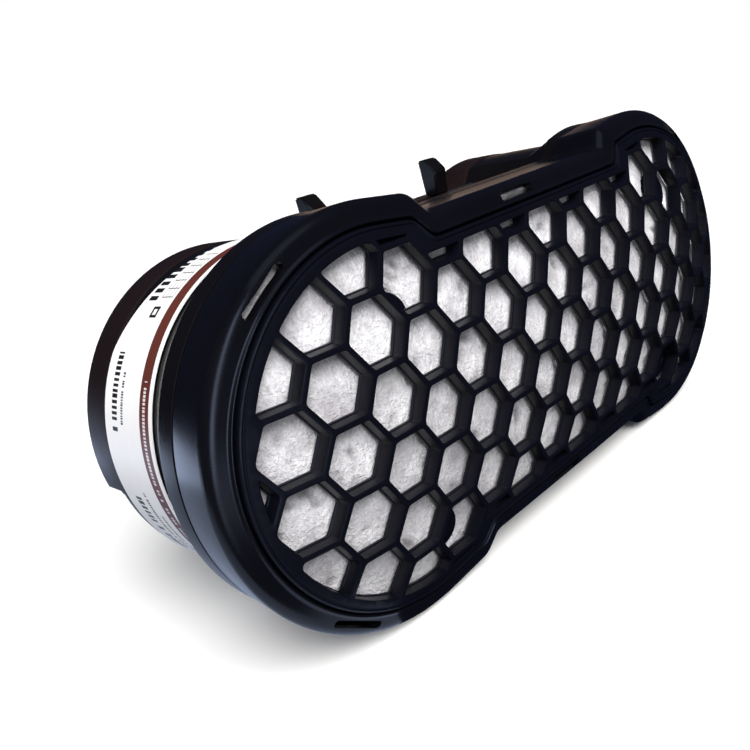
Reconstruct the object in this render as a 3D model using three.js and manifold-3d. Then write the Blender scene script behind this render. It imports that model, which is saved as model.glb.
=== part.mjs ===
// Combined gas and particulate filter cartridge for a powered air respirator.
// Millimetres, +Z up. X runs along the cartridge, air enters through the front (-Y) and leaves at the rear (+Y).
// Below, every piece is drawn about the middle of the honeycomb, and the guard stands proud of y = 0.
// The exported group then puts the origin under the middle of the cartridge, on the surface it stands on.
import * as THREE from 'three';
import { mergeVertices } from 'three/addons/utils/BufferGeometryUtils.js';
import Module from 'manifold-3d';

const wasm = await Module();
wasm.setup();

// ---------------------------------------------------------------- Driving dimensions

// Outline at the seam line between guard and bezel: two round lobes joined by a lower waist.
const LOBE_X = 41.5;
const LOBE_R = 30.1;
const WAIST_Z = 25.2;
const STEP_FOOT_X = 27.7;
const STEP_TOP = { x: 30.5, z: 28.9 };
const BODY_STEP_FOOT_X = 30.2;
const BODY_STEP_TOP = { x: 33, z: 28.95 };
const LOBE_STEPS = 10;

// The front is a shallow dome: a radius over its height, another over each lobe's end, a slight crown along it.
const DOME_R_HEIGHT = 96;
const DOME_R_END = 86;
const DOME_END_X = 43.3;
const CROWN_R = 1720;

// Honeycomb guard.
const CELL_PITCH = 10.45;
const WEB = { front: 0.95, rear: 1.3 };
const GUARD = { front: -1.5, rear: 1 };
const BORDER_LOBE = 2.5;
const BORDER_WAIST_Z = 23.1;
const GUARD_LIP = { out: 0.7, thick: 0.7 };

// Bezel, seam and housing: distances outside the seam outline, and depths along y.
const BEZEL_OUT = 3.8;
const BEZEL_REAR_OUT = 3.1;
const BEZEL_REAR_Y = 15.1;
const FLANGE_OUT = 3.05;
const FLANGE_Y = 15.6;
const BODY_OUT = -0.2;
const BODY_FRONT_Y = 26;
const HOUSING_REAR_Y = 43;
const SHROUD_REAR_Y = 50.7;
const SHROUD_LOW_Z = -4.9;
const WALL = 1.8;
const GAP = 0.3;

// Outlet: a slot with round ends.
const OUTLET_X = 15;
const OUTLET_R = 13;
const COLLAR_WALL = 2.2;

// Latch hooks on top of the waist.
const HOOK_X = 18.3;
const HOOK_WIDTH = 4;
const HOOK_TOP_Z = 33.6;

const DEPTH = SHROUD_REAR_Y - GUARD.front;
const HALF_HEIGHT = LOBE_R + BEZEL_OUT;

// ---------------------------------------------------------------- Outline and dome

function unitAt(angle) {
  return new THREE.Vector2(Math.cos(angle), Math.sin(angle));
}

// The direction in which a corner moves when both of its sides move outwards by one.
function mitre(normalA, normalB) {
  return normalA.clone().add(normalB).divideScalar(1 + normalA.dot(normalB));
}

const lobeCentre = new THREE.Vector2(LOBE_X, 0);

// A step from the waist up to a lobe: its corners, the way each moves outwards, and where the lobe's arc ends.
function stepBetween(footX, topPoint) {
  const foot = new THREE.Vector2(footX, WAIST_Z);
  const top = new THREE.Vector2(topPoint.x, topPoint.z);
  const topFromLobe = top.clone().sub(lobeCentre);
  const arcEnd = topFromLobe.angle() - Math.acos(LOBE_R / topFromLobe.length());
  const along = top.clone().sub(foot).normalize();
  const normal = new THREE.Vector2(-along.y, along.x);
  const footMitre = mitre(new THREE.Vector2(0, 1), normal);
  return { foot, top, arcEnd, footMitre, topMitre: mitre(normal, unitAt(arcEnd)) };
}

const coverStep = stepBetween(STEP_FOOT_X, STEP_TOP);
const bodyStep = stepBetween(BODY_STEP_FOOT_X, BODY_STEP_TOP);

// The cartridge's outline in x and z, moved outwards by offset. It runs anticlockwise seen from the front.
function outline(offset, step) {
  const quarter = [];
  for (let i = 0; i <= LOBE_STEPS; i++) {
    const angle = (step.arcEnd * i) / LOBE_STEPS;
    quarter.push(unitAt(angle).multiplyScalar(LOBE_R + offset).add(lobeCentre));
  }
  quarter.push(step.top.clone().addScaledVector(step.topMitre, offset));
  quarter.push(step.foot.clone().addScaledVector(step.footMitre, offset));
  const topHalf = [...quarter];
  for (const p of [...quarter].reverse()) topHalf.push(new THREE.Vector2(-p.x, p.y));
  const bottomHalf = topHalf.slice(1, -1).map((p) => new THREE.Vector2(p.x, -p.y));
  return [...topHalf, ...bottomHalf.reverse()];
}

// How far the domed front has fallen back at a point.
function dome(x, z) {
  const pastEnd = Math.max(Math.abs(x) - DOME_END_X, 0);
  return z ** 2 / (2 * DOME_R_HEIGHT) + pastEnd ** 2 / (2 * DOME_R_END) + x ** 2 / (2 * CROWN_R);
}

// ---------------------------------------------------------------- Solids

// A ring of points round the outline at depth y, which follows the dome by the share given. Domed rings have
// the cover's step and flat ones the body's, unless another is given.
function ring(offset, y, domed = 0, scale = 1, step = domed > 0 ? coverStep : bodyStep) {
  return outline(offset, step).map((p) => {
    const x = p.x * scale;
    const z = p.y * scale;
    return new THREE.Vector3(x, y + domed * dome(x, z), z);
  });
}

// The skin over a row of rings. An open row is capped at both ends, and a closed one meets itself.
function skin(rings, closed = false) {
  const count = rings[0].length;
  const positions = rings.flat().flatMap((p) => [p.x, p.y, p.z]);
  const index = [];
  const spans = closed ? rings.length : rings.length - 1;
  for (let k = 0; k < spans; k++) {
    const next = (k + 1) % rings.length;
    for (let i = 0; i < count; i++) {
      const j = (i + 1) % count;
      const [a, b, c, d] = [k * count + i, next * count + i, next * count + j, k * count + j];
      index.push(a, b, c, a, c, d);
    }
  }
  if (!closed) {
    const flat = (points) => points.map((p) => new THREE.Vector2(p.x, p.z));
    const last = (rings.length - 1) * count;
    for (const [a, b, c] of THREE.ShapeUtils.triangulateShape(flat(rings[0]), [])) index.push(a, b, c);
    for (const [a, b, c] of THREE.ShapeUtils.triangulateShape(flat(rings.at(-1)), [])) {
      index.push(last + a, last + c, last + b);
    }
  }
  const geometry = new THREE.BufferGeometry();
  geometry.setAttribute('position', new THREE.Float32BufferAttribute(positions, 3));
  geometry.setIndex(index);
  geometry.computeVertexNormals();
  return geometry;
}

// A flat slab with the cartridge's outline.
function slab(offset, front, rear, domed = 0) {
  return skin([ring(offset, front, domed), ring(offset, rear, domed)]);
}

// A flat band between two offsets of the outline.
function band(inner, outer, front, rear) {
  return skin([ring(inner, front), ring(outer, front), ring(outer, rear), ring(inner, rear)], true);
}

// A slot with round ends, drawn in x and z.
function slotShape(radius) {
  const shape = new THREE.Shape();
  shape.moveTo(-OUTLET_X, -radius);
  shape.lineTo(OUTLET_X, -radius);
  shape.absarc(OUTLET_X, 0, radius, -Math.PI / 2, Math.PI / 2);
  shape.lineTo(-OUTLET_X, radius);
  shape.absarc(-OUTLET_X, 0, radius, Math.PI / 2, (3 * Math.PI) / 2);
  return shape;
}

// A shape drawn in x and z, made solid from depth front to depth rear.
function plate(shape, front, rear) {
  const geometry = new THREE.ExtrudeGeometry(shape, {
    depth: rear - front,
    bevelEnabled: false,
    curveSegments: 12,
  });
  return geometry.rotateX(Math.PI / 2).translate(0, rear, 0);
}

function box(x0, x1, y0, y1, z0, z1) {
  const geometry = new THREE.BoxGeometry(x1 - x0, y1 - y0, z1 - z0);
  return geometry.translate((x0 + x1) / 2, (y0 + y1) / 2, (z0 + z1) / 2);
}

function solidOf(geometry) {
  const bare = new THREE.BufferGeometry();
  bare.setAttribute('position', geometry.getAttribute('position'));
  bare.setIndex(geometry.getIndex());
  const merged = mergeVertices(bare, 1e-4);
  const triVerts = new Uint32Array(merged.index.array);
  return new wasm.Manifold(
    new wasm.Mesh({ numProp: 3, vertProperties: merged.attributes.position.array, triVerts }),
  );
}

function geometryOf(solid) {
  const { vertProperties, triVerts } = solid.getMesh();
  const geometry = new THREE.BufferGeometry();
  geometry.setAttribute('position', new THREE.BufferAttribute(new Float32Array(vertProperties), 3));
  geometry.setIndex(new THREE.BufferAttribute(new Uint32Array(triVerts), 1));
  geometry.computeVertexNormals();
  return geometry;
}

const join = (...geometries) => geometryOf(wasm.Manifold.union(geometries.map(solidOf)));
const cut = (geometry, ...tools) => {
  return geometryOf(solidOf(geometry).subtract(wasm.Manifold.union(tools.map(solidOf))));
};
const common = (a, b) => geometryOf(solidOf(a).intersect(solidOf(b)));

// Moves every point of a geometry back by the dome.
function domed(geometry) {
  const position = geometry.getAttribute('position');
  for (let i = 0; i < position.count; i++) {
    position.setY(i, position.getY(i) + dome(position.getX(i), position.getZ(i)));
  }
  geometry.computeVertexNormals();
  return geometry;
}

// ---------------------------------------------------------------- Materials

const plastic = (color, roughness) => new THREE.MeshStandardMaterial({ color, roughness, metalness: 0 });
const material = {
  bezel: plastic(0x0d0d11, 0.22),
  guard: plastic(0x12131a, 0.45),
  housing: plastic(0x17161a, 0.35),
  shroud: plastic(0x2a2021, 0.5),
  grid: plastic(0x2b2d30, 0.6),
  rubber: plastic(0x1b1b1b, 0.85),
  fleece: plastic(0xe4e3e6, 0.95),
  paper: plastic(0xf1efe8, 0.9),
  sealant: plastic(0xd9cfa8, 0.5),
  carbon: plastic(0x161616, 0.95),
  foam: plastic(0x4a4a4e, 0.95),
  label: plastic(0xf2f0ef, 0.4),
};

const cartridge = new THREE.Group();
cartridge.position.set(0, -(GUARD.front + SHROUD_REAR_Y) / 2, HALF_HEIGHT);

function piece(name, geometry, finish) {
  const mesh = new THREE.Mesh(geometry, finish);
  mesh.name = name;
  cartridge.add(mesh);
  return mesh;
}

// ---------------------------------------------------------------- Front cover

// Glossy rim: a crowned front face, a side wall that tapers to the seam, and a thin skirt inside it.
function bezelRim() {
  const cornerDomed = 0.75;
  return skin(
    [
      ring(0, -1.2, 1),
      ring(0.3, GUARD.front, 1),
      ring(2.4, -0.9, 0.95),
      ring(BEZEL_OUT, 1.4, cornerDomed),
      ring(BEZEL_REAR_OUT, BEZEL_REAR_Y, 0, 1, coverStep),
      ring(BEZEL_REAR_OUT - 1.3, BEZEL_REAR_Y, 0, 1, coverStep),
      ring(2.5, 2.2, cornerDomed),
      ring(1, 0, 1),
      ring(0, 0, 1),
    ],
    true,
  );
}

// Windows of the snap fits: two in each lobe and one near the middle of the waist, above and below.
function bezelWindows() {
  const lobeWindow = { length: 9.4, width: 1.5, radius: LOBE_R + 1.65, angle: THREE.MathUtils.degToRad(56) };
  const waistWindow = { length: 9, width: 1.5, x: -4.7, z: WAIST_Z + 1.75 };
  const depth = 24;
  const tools = [];
  for (const up of [1, -1]) {
    for (const side of [1, -1]) {
      const tool = new THREE.BoxGeometry(lobeWindow.width, depth, lobeWindow.length);
      tool.translate(lobeWindow.radius, 0, 0).rotateY(-lobeWindow.angle * up * side);
      if (side < 0) tool.rotateY(Math.PI);
      tools.push(tool.translate(side * LOBE_X, 0, 0));
    }
    const middle = new THREE.BoxGeometry(waistWindow.length, depth, waistWindow.width);
    tools.push(middle.translate(waistWindow.x, 0, up * waistWindow.z));
  }
  return tools;
}

piece('front_bezel', cut(bezelRim(), ...bezelWindows()), material.bezel);

// Cells stand on a triangular lattice with two sides of each hexagon along x.
function cellCentres(reachX, reachZ) {
  const columnStep = CELL_PITCH * Math.cos(Math.PI / 6);
  const columns = Math.ceil(reachX / columnStep);
  const rows = Math.ceil(reachZ / CELL_PITCH) + 1;
  const centres = [];
  for (let column = -columns; column <= columns; column++) {
    const shift = column % 2 === 0 ? 0 : 0.5;
    for (let row = -rows; row <= rows; row++) {
      centres.push(new THREE.Vector2(column * columnStep, (row + shift) * CELL_PITCH));
    }
  }
  return centres;
}

// The guard's open field: the outline inside its border, which is narrower along the waist.
function openField() {
  const reach = LOBE_X + LOBE_R;
  const [front, rear] = [GUARD.front - 1, GUARD.rear + 1];
  const lobes = slab(-BORDER_LOBE, front, rear);
  const waist = box(-STEP_FOOT_X, STEP_FOOT_X, front, rear, -BORDER_WAIST_Z, BORDER_WAIST_Z);
  const fieldLimit = box(-reach, reach, front, rear, -LOBE_R, LOBE_R);
  return common(join(lobes, waist), fieldLimit);
}

function guard() {
  const radius = (web) => (CELL_PITCH - web) / Math.sqrt(3);
  const [middle, height] = [(GUARD.front + GUARD.rear) / 2, GUARD.rear - GUARD.front + 0.2];
  const cell = new THREE.CylinderGeometry(radius(WEB.rear), radius(WEB.front), height, 6);
  cell.rotateY(Math.PI / 6).translate(0, middle, 0);
  const cells = cellCentres(LOBE_X + LOBE_R, LOBE_R)
    .filter(insideField)
    .map((centre) => cell.clone().translate(centre.x, 0, centre.y));
  const sheet = join(
    slab(-0.35, GUARD.front, GUARD.rear),
    slab(GUARD_LIP.out, GUARD.rear - GUARD_LIP.thick, GUARD.rear),
  );
  const openings = common(join(...cells), openField());
  return domed(cut(sheet, openings));
}

// A cell is cut only where enough of it lies inside the border to be a useful opening.
function insideField(centre) {
  const lobeDistance = Math.hypot(Math.max(Math.abs(centre.x) - LOBE_X, 0), centre.y);
  const waistEdge = Math.abs(centre.x) < STEP_FOOT_X ? BORDER_WAIST_Z : LOBE_R - BORDER_LOBE;
  return lobeDistance < waistEdge + 0.3 * CELL_PITCH;
}

piece('honeycomb_grille', guard(), material.guard);

// The pad lies behind the guard and follows its dome.
const PAD = { out: 2, front: GUARD.rear + 2 * GAP, thick: 2.2 };

function prefilterPad() {
  const scales = [0.3, 0.6, 0.84, 1];
  const face = (y, list) => list.map((scale) => ring(PAD.out, y, 1, scale));
  return skin([...face(PAD.front, scales), ...face(PAD.front + PAD.thick, [...scales].reverse())]);
}

const STUDS = {
  upper_left: { x: -40.4, z: 15.8 },
  upper_right: { x: 45, z: 16.3 },
  lower_left: { x: -39.3, z: -21.3 },
  lower_right: { x: 39.3, z: -21.3 },
};
const STUD = { headR: 4.2, headThick: 1.1, shankR: 1.4, below: 1 };

// The way into the dome, square to its surface.
function domeInward(x, z) {
  const step = 0.1;
  const slopeX = (dome(x + step, z) - dome(x - step, z)) / (2 * step);
  const slopeZ = (dome(x, z + step) - dome(x, z - step)) / (2 * step);
  return new THREE.Vector3(-slopeX, 1, -slopeZ).normalize();
}

// A push stud, square to the dome: a flat head on the pad's face and a shank through it. A clearance makes
// the hole for it.
function stud({ x, z }, clearance = 0) {
  const headLength = STUD.headThick + 2 * clearance;
  const shankLength = PAD.thick + STUD.below + 2 * clearance;
  const head = new THREE.CylinderGeometry(STUD.headR + clearance, STUD.headR + clearance, headLength, 24);
  const shank = new THREE.CylinderGeometry(STUD.shankR + clearance, STUD.shankR + clearance, shankLength, 16);
  head.translate(0, STUD.headThick / 2, 0);
  shank.translate(0, (PAD.thick + STUD.below) / 2, 0);
  const turn = new THREE.Quaternion().setFromUnitVectors(new THREE.Vector3(0, 1, 0), domeInward(x, z));
  return join(head, shank).applyQuaternion(turn).translate(x, PAD.front + dome(x, z), z);
}

piece(
  'prefilter_pad',
  cut(prefilterPad(), ...Object.values(STUDS).map((place) => stud(place, GAP))),
  material.fleece,
);
for (const [place, centre] of Object.entries(STUDS)) {
  piece(`pad_stud_${place}`, stud(centre), material.guard);
}

// ---------------------------------------------------------------- Housing

const SPIGOT = { outer: 1.2, inner: -0.6, front: 13.9 };
const LEDGE_Y = 25.3;
const REAR_WALL_Y = HOUSING_REAR_Y - WALL;
const GASKET_GROOVE = { inner: 1.3, outer: 2.75, depth: 1.5 };

function housing() {
  const outer = skin([
    ring(FLANGE_OUT, FLANGE_Y),
    ring(FLANGE_OUT, FLANGE_Y + 3.7),
    ring(FLANGE_OUT - 0.3, FLANGE_Y + 4),
    ring(BODY_OUT, BODY_FRONT_Y),
    ring(BODY_OUT, HOUSING_REAR_Y),
  ]);
  const spigot = slab(SPIGOT.outer, SPIGOT.front, FLANGE_Y + 1);
  return cut(
    join(outer, spigot),
    slab(SPIGOT.inner, SPIGOT.front - 1, LEDGE_Y),
    slab(BODY_OUT - WALL, LEDGE_Y - 1, REAR_WALL_Y),
    band(GASKET_GROOVE.inner, GASKET_GROOVE.outer, FLANGE_Y - 1, FLANGE_Y + GASKET_GROOVE.depth),
    plate(slotShape(OUTLET_R), REAR_WALL_Y - 1, HOUSING_REAR_Y + 1),
  );
}

piece('filter_housing', housing(), material.housing);

piece(
  'cover_gasket',
  band(
    GASKET_GROOVE.inner + GAP,
    GASKET_GROOVE.outer - GAP,
    BEZEL_REAR_Y + GAP,
    FLANGE_Y + GASKET_GROOVE.depth - GAP,
  ),
  material.rubber,
);

// ---------------------------------------------------------------- Particulate filter

const FRAME = { outer: SPIGOT.inner - GAP, inner: -2.5, front: 14, rear: LEDGE_Y - GAP, lip: 1 };
const PLEATS = { edge: -4.1, pitch: 3.5, front: 14.8, rear: 23.6, media: 2 };

const frameWall = band(FRAME.inner, FRAME.outer, FRAME.front, FRAME.rear);
const frameLip = band(FRAME.inner - 2, FRAME.inner + 1, FRAME.rear - FRAME.lip, FRAME.rear);
piece('pleat_frame', join(frameWall, frameLip), material.grid);

// The medium is one sheet folded to and fro along x, with its folds upright.
function pleats() {
  const folds = 2 * Math.floor((LOBE_X + LOBE_R) / PLEATS.pitch) + 1;
  const halfWidth = (folds * PLEATS.pitch) / 2;
  const front = [];
  for (let i = 0; i <= 2 * folds; i++) {
    const y = i % 2 === 0 ? PLEATS.rear - PLEATS.media : PLEATS.front;
    front.push(new THREE.Vector2(-halfWidth + (i * PLEATS.pitch) / 2, y));
  }
  const rear = front.map((p) => new THREE.Vector2(p.x, p.y + PLEATS.media)).reverse();
  const sheet = new THREE.ExtrudeGeometry(new THREE.Shape([...front, ...rear]), {
    depth: 2 * LOBE_R,
    bevelEnabled: false,
  });
  sheet.translate(0, 0, -LOBE_R);
  return common(sheet, slab(PLEATS.edge, FRAME.front, FRAME.rear));
}

piece('pleated_filter', pleats(), material.paper);
piece(
  'pleat_sealant',
  band(PLEATS.edge + GAP, FRAME.inner - GAP, PLEATS.front, FRAME.rear - FRAME.lip - GAP),
  material.sealant,
);

// ---------------------------------------------------------------- Carbon stage

const BORE = BODY_OUT - WALL;
const LAYER_OUT = BORE - GAP;
const FRONT_GRID = { front: 25.6, rear: 27 };
const FRONT_SCRIM = { front: 27.3, rear: 27.9 };
const CARBON = { front: 28.2, rear: 36.4 };
const REAR_SCRIM = { front: 36.7, rear: 37.3 };
const FOAM = { front: 37.6, rear: 39.2 };
const REAR_GRID = { front: 39.5, rear: 40.9 };
const GRID = { pitch: 13.4, bar: 2.2, border: 2.5 };

// A grid of square holes inside a plain border.
function grid({ front, rear }) {
  const tools = [];
  const half = (GRID.pitch - GRID.bar) / 2;
  const columns = Math.floor((LOBE_X + LOBE_R) / GRID.pitch);
  const rows = Math.floor(LOBE_R / GRID.pitch);
  for (let column = -columns; column <= columns; column++) {
    for (let row = -rows; row <= rows; row++) {
      const [x, z] = [column * GRID.pitch, row * GRID.pitch];
      tools.push(box(x - half, x + half, front - 1, rear + 1, z - half, z + half));
    }
  }
  const holes = common(join(...tools), slab(LAYER_OUT - GRID.border, front - 1, rear + 1));
  return cut(slab(LAYER_OUT, front, rear), holes);
}

const layer = ({ front, rear }) => slab(LAYER_OUT, front, rear);

piece('front_carbon_grid', grid(FRONT_GRID), material.grid);
piece('front_carbon_scrim', layer(FRONT_SCRIM), material.fleece);
piece('carbon_bed', layer(CARBON), material.carbon);
piece('rear_carbon_scrim', layer(REAR_SCRIM), material.fleece);
piece('compression_foam', layer(FOAM), material.foam);
piece('rear_carbon_grid', grid(REAR_GRID), material.grid);

// ---------------------------------------------------------------- Outlet and rear shroud

const BACK_PLATE = { front: HOUSING_REAR_Y + GAP, rear: HOUSING_REAR_Y + 1.9 };
const COLLAR = { front: BACK_PLATE.rear + GAP, rear: 48.4 };
const SEAL = { front: COLLAR.rear + GAP, rear: 50.2 };
const SLATS = { count: 7, pitch: 7, width: 1.6, rimWidth: 1.6 };

// Slatted guard in the housing's rear wall.
function outletGuard() {
  const [front, rear] = [REAR_WALL_Y + 0.2, HOUSING_REAR_Y - 0.2];
  const outside = plate(slotShape(OUTLET_R - GAP), front, rear);
  const rim = cut(outside, plate(slotShape(OUTLET_R - GAP - SLATS.rimWidth), front - 1, rear + 1));
  const slats = [];
  for (let i = 0; i < SLATS.count; i++) {
    const x = (i - (SLATS.count - 1) / 2) * SLATS.pitch;
    slats.push(box(x - SLATS.width / 2, x + SLATS.width / 2, front, rear, -OUTLET_R, OUTLET_R));
  }
  return join(rim, common(join(...slats), outside));
}

piece('outlet_guard', outletGuard(), material.grid);

// The shroud carries the body's outline back round the top and both ends, and is open below.
function rearShroud() {
  const reach = LOBE_X + LOBE_R + 1;
  const wall = band(-WALL, 0, BACK_PLATE.front, SHROUD_REAR_Y);
  const below = box(-reach, reach, HOUSING_REAR_Y, SHROUD_REAR_Y + 1, -LOBE_R - 1, SHROUD_LOW_Z);
  const upperWall = cut(wall, below);
  const backPlate = slab(-WALL + 0.3, BACK_PLATE.front, BACK_PLATE.rear);
  const opening = plate(slotShape(OUTLET_R), BACK_PLATE.front - 1, BACK_PLATE.rear + 1);
  return cut(join(upperWall, backPlate), opening);
}

piece('rear_shroud', rearShroud(), material.shroud);

const slotRing = (inner, outer, front, rear) => {
  return cut(plate(slotShape(outer), front, rear), plate(slotShape(inner), front - 1, rear + 1));
};

piece(
  'outlet_collar',
  slotRing(OUTLET_R, OUTLET_R + COLLAR_WALL, COLLAR.front, COLLAR.rear),
  material.housing,
);
piece(
  'outlet_gasket',
  slotRing(OUTLET_R + GAP, OUTLET_R + COLLAR_WALL - GAP, SEAL.front, SEAL.rear),
  material.rubber,
);

// ---------------------------------------------------------------- Latch hooks

// Side view of a hook, in y and z: upright behind, with a sloping nose in front.
function hook(centreX) {
  const foot = WAIST_Z + BODY_OUT + 0.5;
  const side = new THREE.Shape([
    new THREE.Vector2(39.6, foot),
    new THREE.Vector2(43.2, foot),
    new THREE.Vector2(43.6, HOOK_TOP_Z),
    new THREE.Vector2(41.4, HOOK_TOP_Z),
    new THREE.Vector2(38.9, HOOK_TOP_Z - 2.8),
    new THREE.Vector2(39.3, HOOK_TOP_Z - 4.4),
  ]);
  const geometry = new THREE.ExtrudeGeometry(side, { depth: HOOK_WIDTH, bevelEnabled: false });
  const yzToWorld = new THREE.Matrix4().set(0, 0, 1, 0, 1, 0, 0, 0, 0, 1, 0, 0, 0, 0, 0, 1);
  return geometry.applyMatrix4(yzToWorld).translate(centreX - HOOK_WIDTH / 2, 0, 0);
}

piece('latch_hook_left', hook(-HOOK_X), material.housing);
piece('latch_hook_right', hook(HOOK_X), material.housing);

// ---------------------------------------------------------------- Label

// A thin wrap round the left lobe, between the flange and the shroud. Its rear edge slants forwards over the top.
const LABEL = { front: BODY_FRONT_Y + 0.9, rear: HOUSING_REAR_Y - 0.1, inner: 0, outer: 0.25, endX: -34 };
const LABEL_SLANT = { from: THREE.MathUtils.degToRad(38), perRadian: 8.1 };

function labelRear(offset) {
  return ring(offset, LABEL.rear).map((p) => {
    const upwards = Math.atan2(p.z, -p.x - LOBE_X);
    return p.setY(LABEL.rear - LABEL_SLANT.perRadian * Math.max(upwards - LABEL_SLANT.from, 0));
  });
}

function wrapLabel() {
  const { front, inner, outer } = LABEL;
  const wrap = skin([ring(inner, front), ring(outer, front), labelRear(outer), labelRear(inner)], true);
  const reach = LOBE_X + LOBE_R + 1;
  return common(wrap, box(-reach, LABEL.endX, front - 1, LABEL.rear + 1, -LOBE_R - 1, LOBE_R + 1));
}

piece('wrap_label', wrapLabel(), material.label);

export default cartridge;
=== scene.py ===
import math

import bmesh
import bpy
import numpy as np
from mathutils import Euler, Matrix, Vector
from mathutils.geometry import delaunay_2d_cdt


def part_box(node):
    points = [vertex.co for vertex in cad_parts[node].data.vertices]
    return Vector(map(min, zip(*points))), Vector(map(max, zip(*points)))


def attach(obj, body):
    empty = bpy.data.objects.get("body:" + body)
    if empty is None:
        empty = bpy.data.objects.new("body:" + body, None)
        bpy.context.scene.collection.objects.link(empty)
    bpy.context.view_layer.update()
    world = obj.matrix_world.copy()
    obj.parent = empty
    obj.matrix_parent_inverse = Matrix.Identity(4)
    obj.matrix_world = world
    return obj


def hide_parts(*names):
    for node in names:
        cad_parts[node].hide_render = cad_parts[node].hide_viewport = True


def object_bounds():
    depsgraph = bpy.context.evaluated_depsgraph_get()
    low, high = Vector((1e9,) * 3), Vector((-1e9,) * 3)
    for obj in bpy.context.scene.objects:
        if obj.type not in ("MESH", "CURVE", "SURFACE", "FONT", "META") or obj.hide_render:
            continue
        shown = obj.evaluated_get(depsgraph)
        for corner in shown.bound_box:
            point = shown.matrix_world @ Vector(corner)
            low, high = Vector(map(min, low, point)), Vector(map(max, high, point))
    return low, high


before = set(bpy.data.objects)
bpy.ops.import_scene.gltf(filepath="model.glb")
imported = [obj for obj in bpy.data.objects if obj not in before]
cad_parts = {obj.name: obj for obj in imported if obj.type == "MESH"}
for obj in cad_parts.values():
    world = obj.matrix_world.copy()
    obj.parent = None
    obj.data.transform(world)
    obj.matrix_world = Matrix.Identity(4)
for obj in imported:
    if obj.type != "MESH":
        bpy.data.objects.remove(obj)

CAD_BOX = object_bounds()

# ---------------------------------------------------------------- Dimensions, in millimetres
# The model is drawn about the middle of the honeycomb, and the guard stands proud of y = 0.

MM = 0.001
LOBE_X, LOBE_R = 41.5, 30.1
WAIST_Z = 25.2
STEP_FOOT_X = 27.7
DOME_R_HEIGHT, DOME_R_END, DOME_END_X, CROWN_R = 96.0, 86.0, 43.3, 1720.0
CELL_PITCH = 10.45
WEB_FRONT, WEB_REAR = 0.95, 1.3
GUARD_FRONT, GUARD_REAR = -1.5, 1.0
BORDER_LOBE, BORDER_WAIST_Z = 2.5, 23.1
CORNER_CUT = 1.2
BEZEL_OUT, BEZEL_REAR_OUT, BEZEL_REAR_Y = 3.8, 3.1, 15.1
FLANGE_OUT, FLANGE_Y = 3.05, 15.6
BODY_OUT, BODY_FRONT_Y = -0.2, 26.0
HOUSING_REAR_Y, SHROUD_REAR_Y, SHROUD_LOW_Z = 43.0, 50.7, -4.9
WALL = 1.8
OUTLET_X, OUTLET_R, COLLAR_WALL = 15.0, 13.0, 2.2
WAIST_WINDOW_X = -4.7

guard_low, guard_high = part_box("honeycomb_grille")
collar_low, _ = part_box("outlet_collar")
COLLAR_Y = 45.2
ORIGIN = Vector((0, collar_low.y - COLLAR_Y * MM, (guard_low.z + guard_high.z) / 2))


def to_frame(points):
    """Points in millimetres about the honeycomb's middle, as metres in the row frame."""
    return np.asarray(points, float) * MM + np.array(ORIGIN)


# ---------------------------------------------------------------- Outline and dome


def unit(angle):
    return np.array([math.cos(angle), math.sin(angle)])


def mitre(a, b):
    return (a + b) / (1 + a @ b)


LOBE = np.array([LOBE_X, 0.0])


class Step:
    """A step from the waist up to a lobe: its corners, how each moves outwards, and where the lobe's arc ends."""

    def __init__(self, foot_x, top):
        self.foot, self.top = np.array([foot_x, WAIST_Z]), np.array(top)
        from_lobe = self.top - LOBE
        self.arc_end = math.atan2(from_lobe[1], from_lobe[0]) - math.acos(LOBE_R / np.linalg.norm(from_lobe))
        along = (self.top - self.foot) / np.linalg.norm(self.top - self.foot)
        normal = np.array([-along[1], along[0]])
        self.foot_mitre = mitre(np.array([0.0, 1.0]), normal)
        self.top_mitre = mitre(normal, unit(self.arc_end))


COVER_STEP = Step(STEP_FOOT_X, (30.5, 28.9))
BODY_STEP = Step(30.2, (33.0, 28.95))


def towards(a, b, distance):
    return a + (b - a) / np.linalg.norm(b - a) * distance


def soft_corner(a, corner, b, cut, steps):
    """A curve that rounds a corner between a and b, starting and ending at the distance cut from it."""
    start, end = towards(corner, a, cut), towards(corner, b, cut)
    t = np.linspace(0, 1, steps + 1)[:, None]
    return (1 - t) ** 2 * start + 2 * t * (1 - t) * corner + t**2 * end


def outline(offset, step=BODY_STEP, arc_steps=44, corner_steps=8, waist_steps=10):
    """The cartridge's outline in x and z, moved outwards by offset, anticlockwise seen from the front."""
    angles = np.linspace(0, step.arc_end, arc_steps + 1)
    arc = LOBE + (LOBE_R + offset) * np.stack([np.cos(angles), np.sin(angles)], 1)
    top = step.top + step.top_mitre * offset
    foot = step.foot + step.foot_mitre * offset
    middle = np.array([0.0, WAIST_Z + offset])
    length = np.linalg.norm(top - foot)
    top_cut = min(CORNER_CUT, 0.3 * np.linalg.norm(arc[-1] - top), 0.45 * length)
    foot_cut = min(CORNER_CUT, 0.45 * length)
    crest = soft_corner(arc[-1], top, foot, top_cut, corner_steps)
    hollow = soft_corner(top, foot, middle, foot_cut, corner_steps)
    t = np.linspace(0, 1, waist_steps + 1)[1:, None]
    waist = hollow[-1] + (middle - hollow[-1]) * t
    quarter = np.vstack([arc, crest, hollow, waist])
    half = np.vstack([quarter, (quarter[:-1] * [-1, 1])[::-1]])
    return np.vstack([half, (half[1:-1] * [1, -1])[::-1]])


def dome(x, z):
    past_end = np.maximum(np.abs(x) - DOME_END_X, 0)
    return z**2 / (2 * DOME_R_HEIGHT) + past_end**2 / (2 * DOME_R_END) + x**2 / (2 * CROWN_R)


def ring(offset, y, domed=0.0, step=BODY_STEP):
    flat = outline(offset, step)
    depth = y + domed * dome(flat[:, 0], flat[:, 1])
    return np.stack([flat[:, 0], depth, flat[:, 1]], 1)


# ---------------------------------------------------------------- Mesh building


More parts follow.
